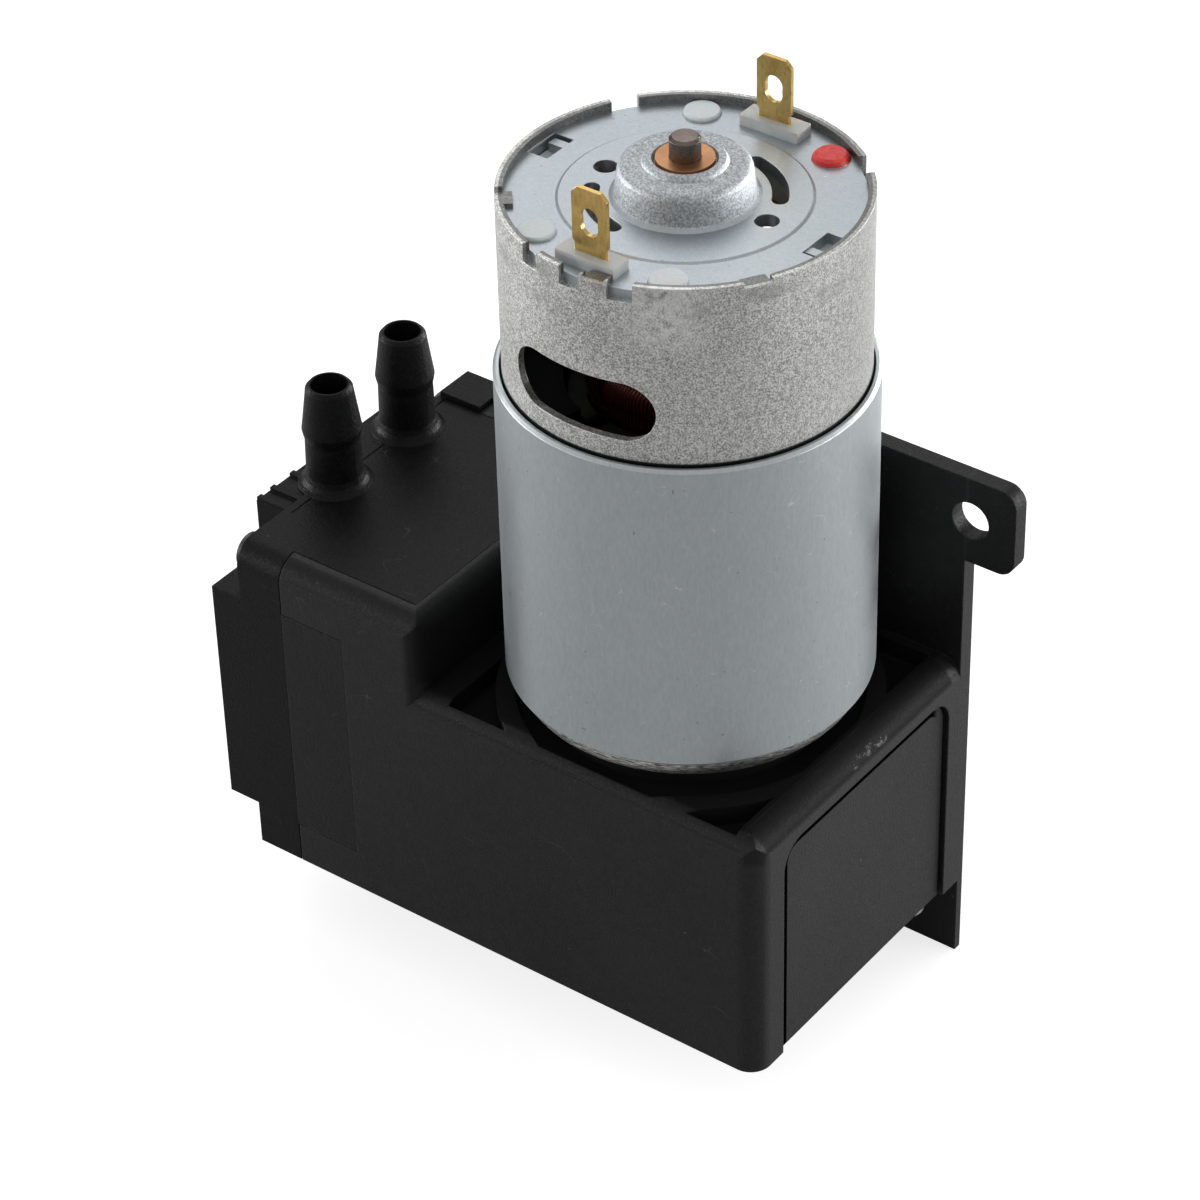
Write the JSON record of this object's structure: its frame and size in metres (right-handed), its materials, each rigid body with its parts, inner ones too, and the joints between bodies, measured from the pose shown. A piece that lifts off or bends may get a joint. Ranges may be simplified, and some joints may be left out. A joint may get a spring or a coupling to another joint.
{
  "type": "mini vacuum pump",
  "caption": "Mini diaphragm vacuum pump: a brushed DC motor stands on a black moulded pump body with two hose barbs, a crank inside and a mounting plate at its back",
  "frame": {"origin": "on the back face of the mounting plate, straight behind the motor's axis and level with the underside of the pump body", "axes": "+Z along the motor's axis toward its terminals, +Y out of the back of the mounting plate, -X toward the pump head, so +X points along the body to its closed end"},
  "size_m": [0.078, 0.0412, 0.1102],
  "materials": {
    "pump_case": "finely textured black moulding",
    "bottom_cover": "finely textured black moulding",
    "bottom_cover_screws": "bright zinc",
    "head_cover": "smooth black moulding",
    "head_screws": "zinc",
    "head_gasket": "moulded rubber",
    "valve_body": "smooth black moulding",
    "inlet_valve": "moulded silicone",
    "outlet_valve": "moulded silicone",
    "diaphragm": "moulded rubber",
    "diaphragm_retainer": "plain steel",
    "diaphragm_screw": "zinc",
    "connecting_rod": "natural acetal",
    "bearing_outer_race": "ground",
    "bearing_inner_race": "ground",
    "bearing_cage": "pressed",
    "bearing_balls": "polished",
    "bearing_clip": "phosphated spring steel",
    "eccentric": "turned and milled",
    "eccentric_set_screw": "black oxide",
    "motor_screws": "bright zinc",
    "motor_can": "zinc coated, fine speckle",
    "flux_ring": "smooth blue-grey zinc",
    "magnets": "ferrite",
    "magnet_springs": "spring steel",
    "front_bush": "sintered bronze",
    "rear_bush": "sintered bronze",
    "end_plate": "pressed, blue-grey zinc",
    "brush_holder": "natural nylon",
    "polarity_mark": "red paint dot",
    "terminals": "stamped",
    "brush_arms": "spring bronze",
    "brushes": "carbon",
    "shaft": "ground",
    "shaft_washers": "hard fibre",
    "armature_core": "laminated steel",
    "slot_insulators": "fibre sheet",
    "windings": "enamelled copper",
    "commutator": "copper segments"
  },
  "bodies": {
    "base": {"pump_case": "pump_case", "bottom_cover": "bottom_cover", "bottom_cover_screws": "bottom_cover_screws", "head_cover": "head_cover", "head_screws": "head_screws", "head_gasket": "head_gasket", "valve_body": "valve_body", "inlet_valve": "inlet_valve", "outlet_valve": "outlet_valve", "diaphragm": "diaphragm", "motor_screws": "motor_screws", "motor_can": "motor_can", "flux_ring": "flux_ring", "magnets": "magnets", "magnet_springs": "magnet_springs", "front_bush": "front_bush", "rear_bush": "rear_bush", "end_plate": "end_plate", "brush_holder": "brush_holder", "polarity_mark": "polarity_mark", "terminals": "terminals", "brush_arms": "brush_arms", "brushes": "brushes"},
    "rotor": {"shaft": "shaft", "shaft_washers": "shaft_washers", "armature_core": "armature_core", "slot_insulators": "slot_insulators", "windings": "windings", "commutator": "commutator", "eccentric": "eccentric", "eccentric_set_screw": "eccentric_set_screw", "bearing_inner_race": "bearing_inner_race", "bearing_clip": "bearing_clip"},
    "rod": {"connecting_rod": "connecting_rod", "bearing_outer_race": "bearing_outer_race", "diaphragm_retainer": "diaphragm_retainer", "diaphragm_screw": "diaphragm_screw"},
    "ball_cage": {"bearing_cage": "bearing_cage", "bearing_balls": "bearing_balls"}
  },
  "joints": [
    {"name": "rotor_spin", "type": "hinge", "parent": "base", "child": "rotor", "pos_m": [0, -0.02175, 0.06], "axis": [0, 0, 1], "continuous": true, "deforming": ["diaphragm"]},
    {"name": "rod_follow", "type": "hinge", "parent": "rotor", "child": "rod", "pos_m": [-0.0015, -0.02175, 0.0197], "axis": [0, 0, 1], "continuous": true},
    {"name": "cage_spin", "type": "hinge", "parent": "rotor", "child": "ball_cage", "pos_m": [-0.0015, -0.02175, 0.0197], "axis": [0, 0, 1], "continuous": true}
  ],
  "couplings": [
    {"joint": "rod_follow", "follows": "rotor_spin", "ratio": -1},
    {"joint": "cage_spin", "follows": "rotor_spin", "ratio": -0.5833}
  ]
}
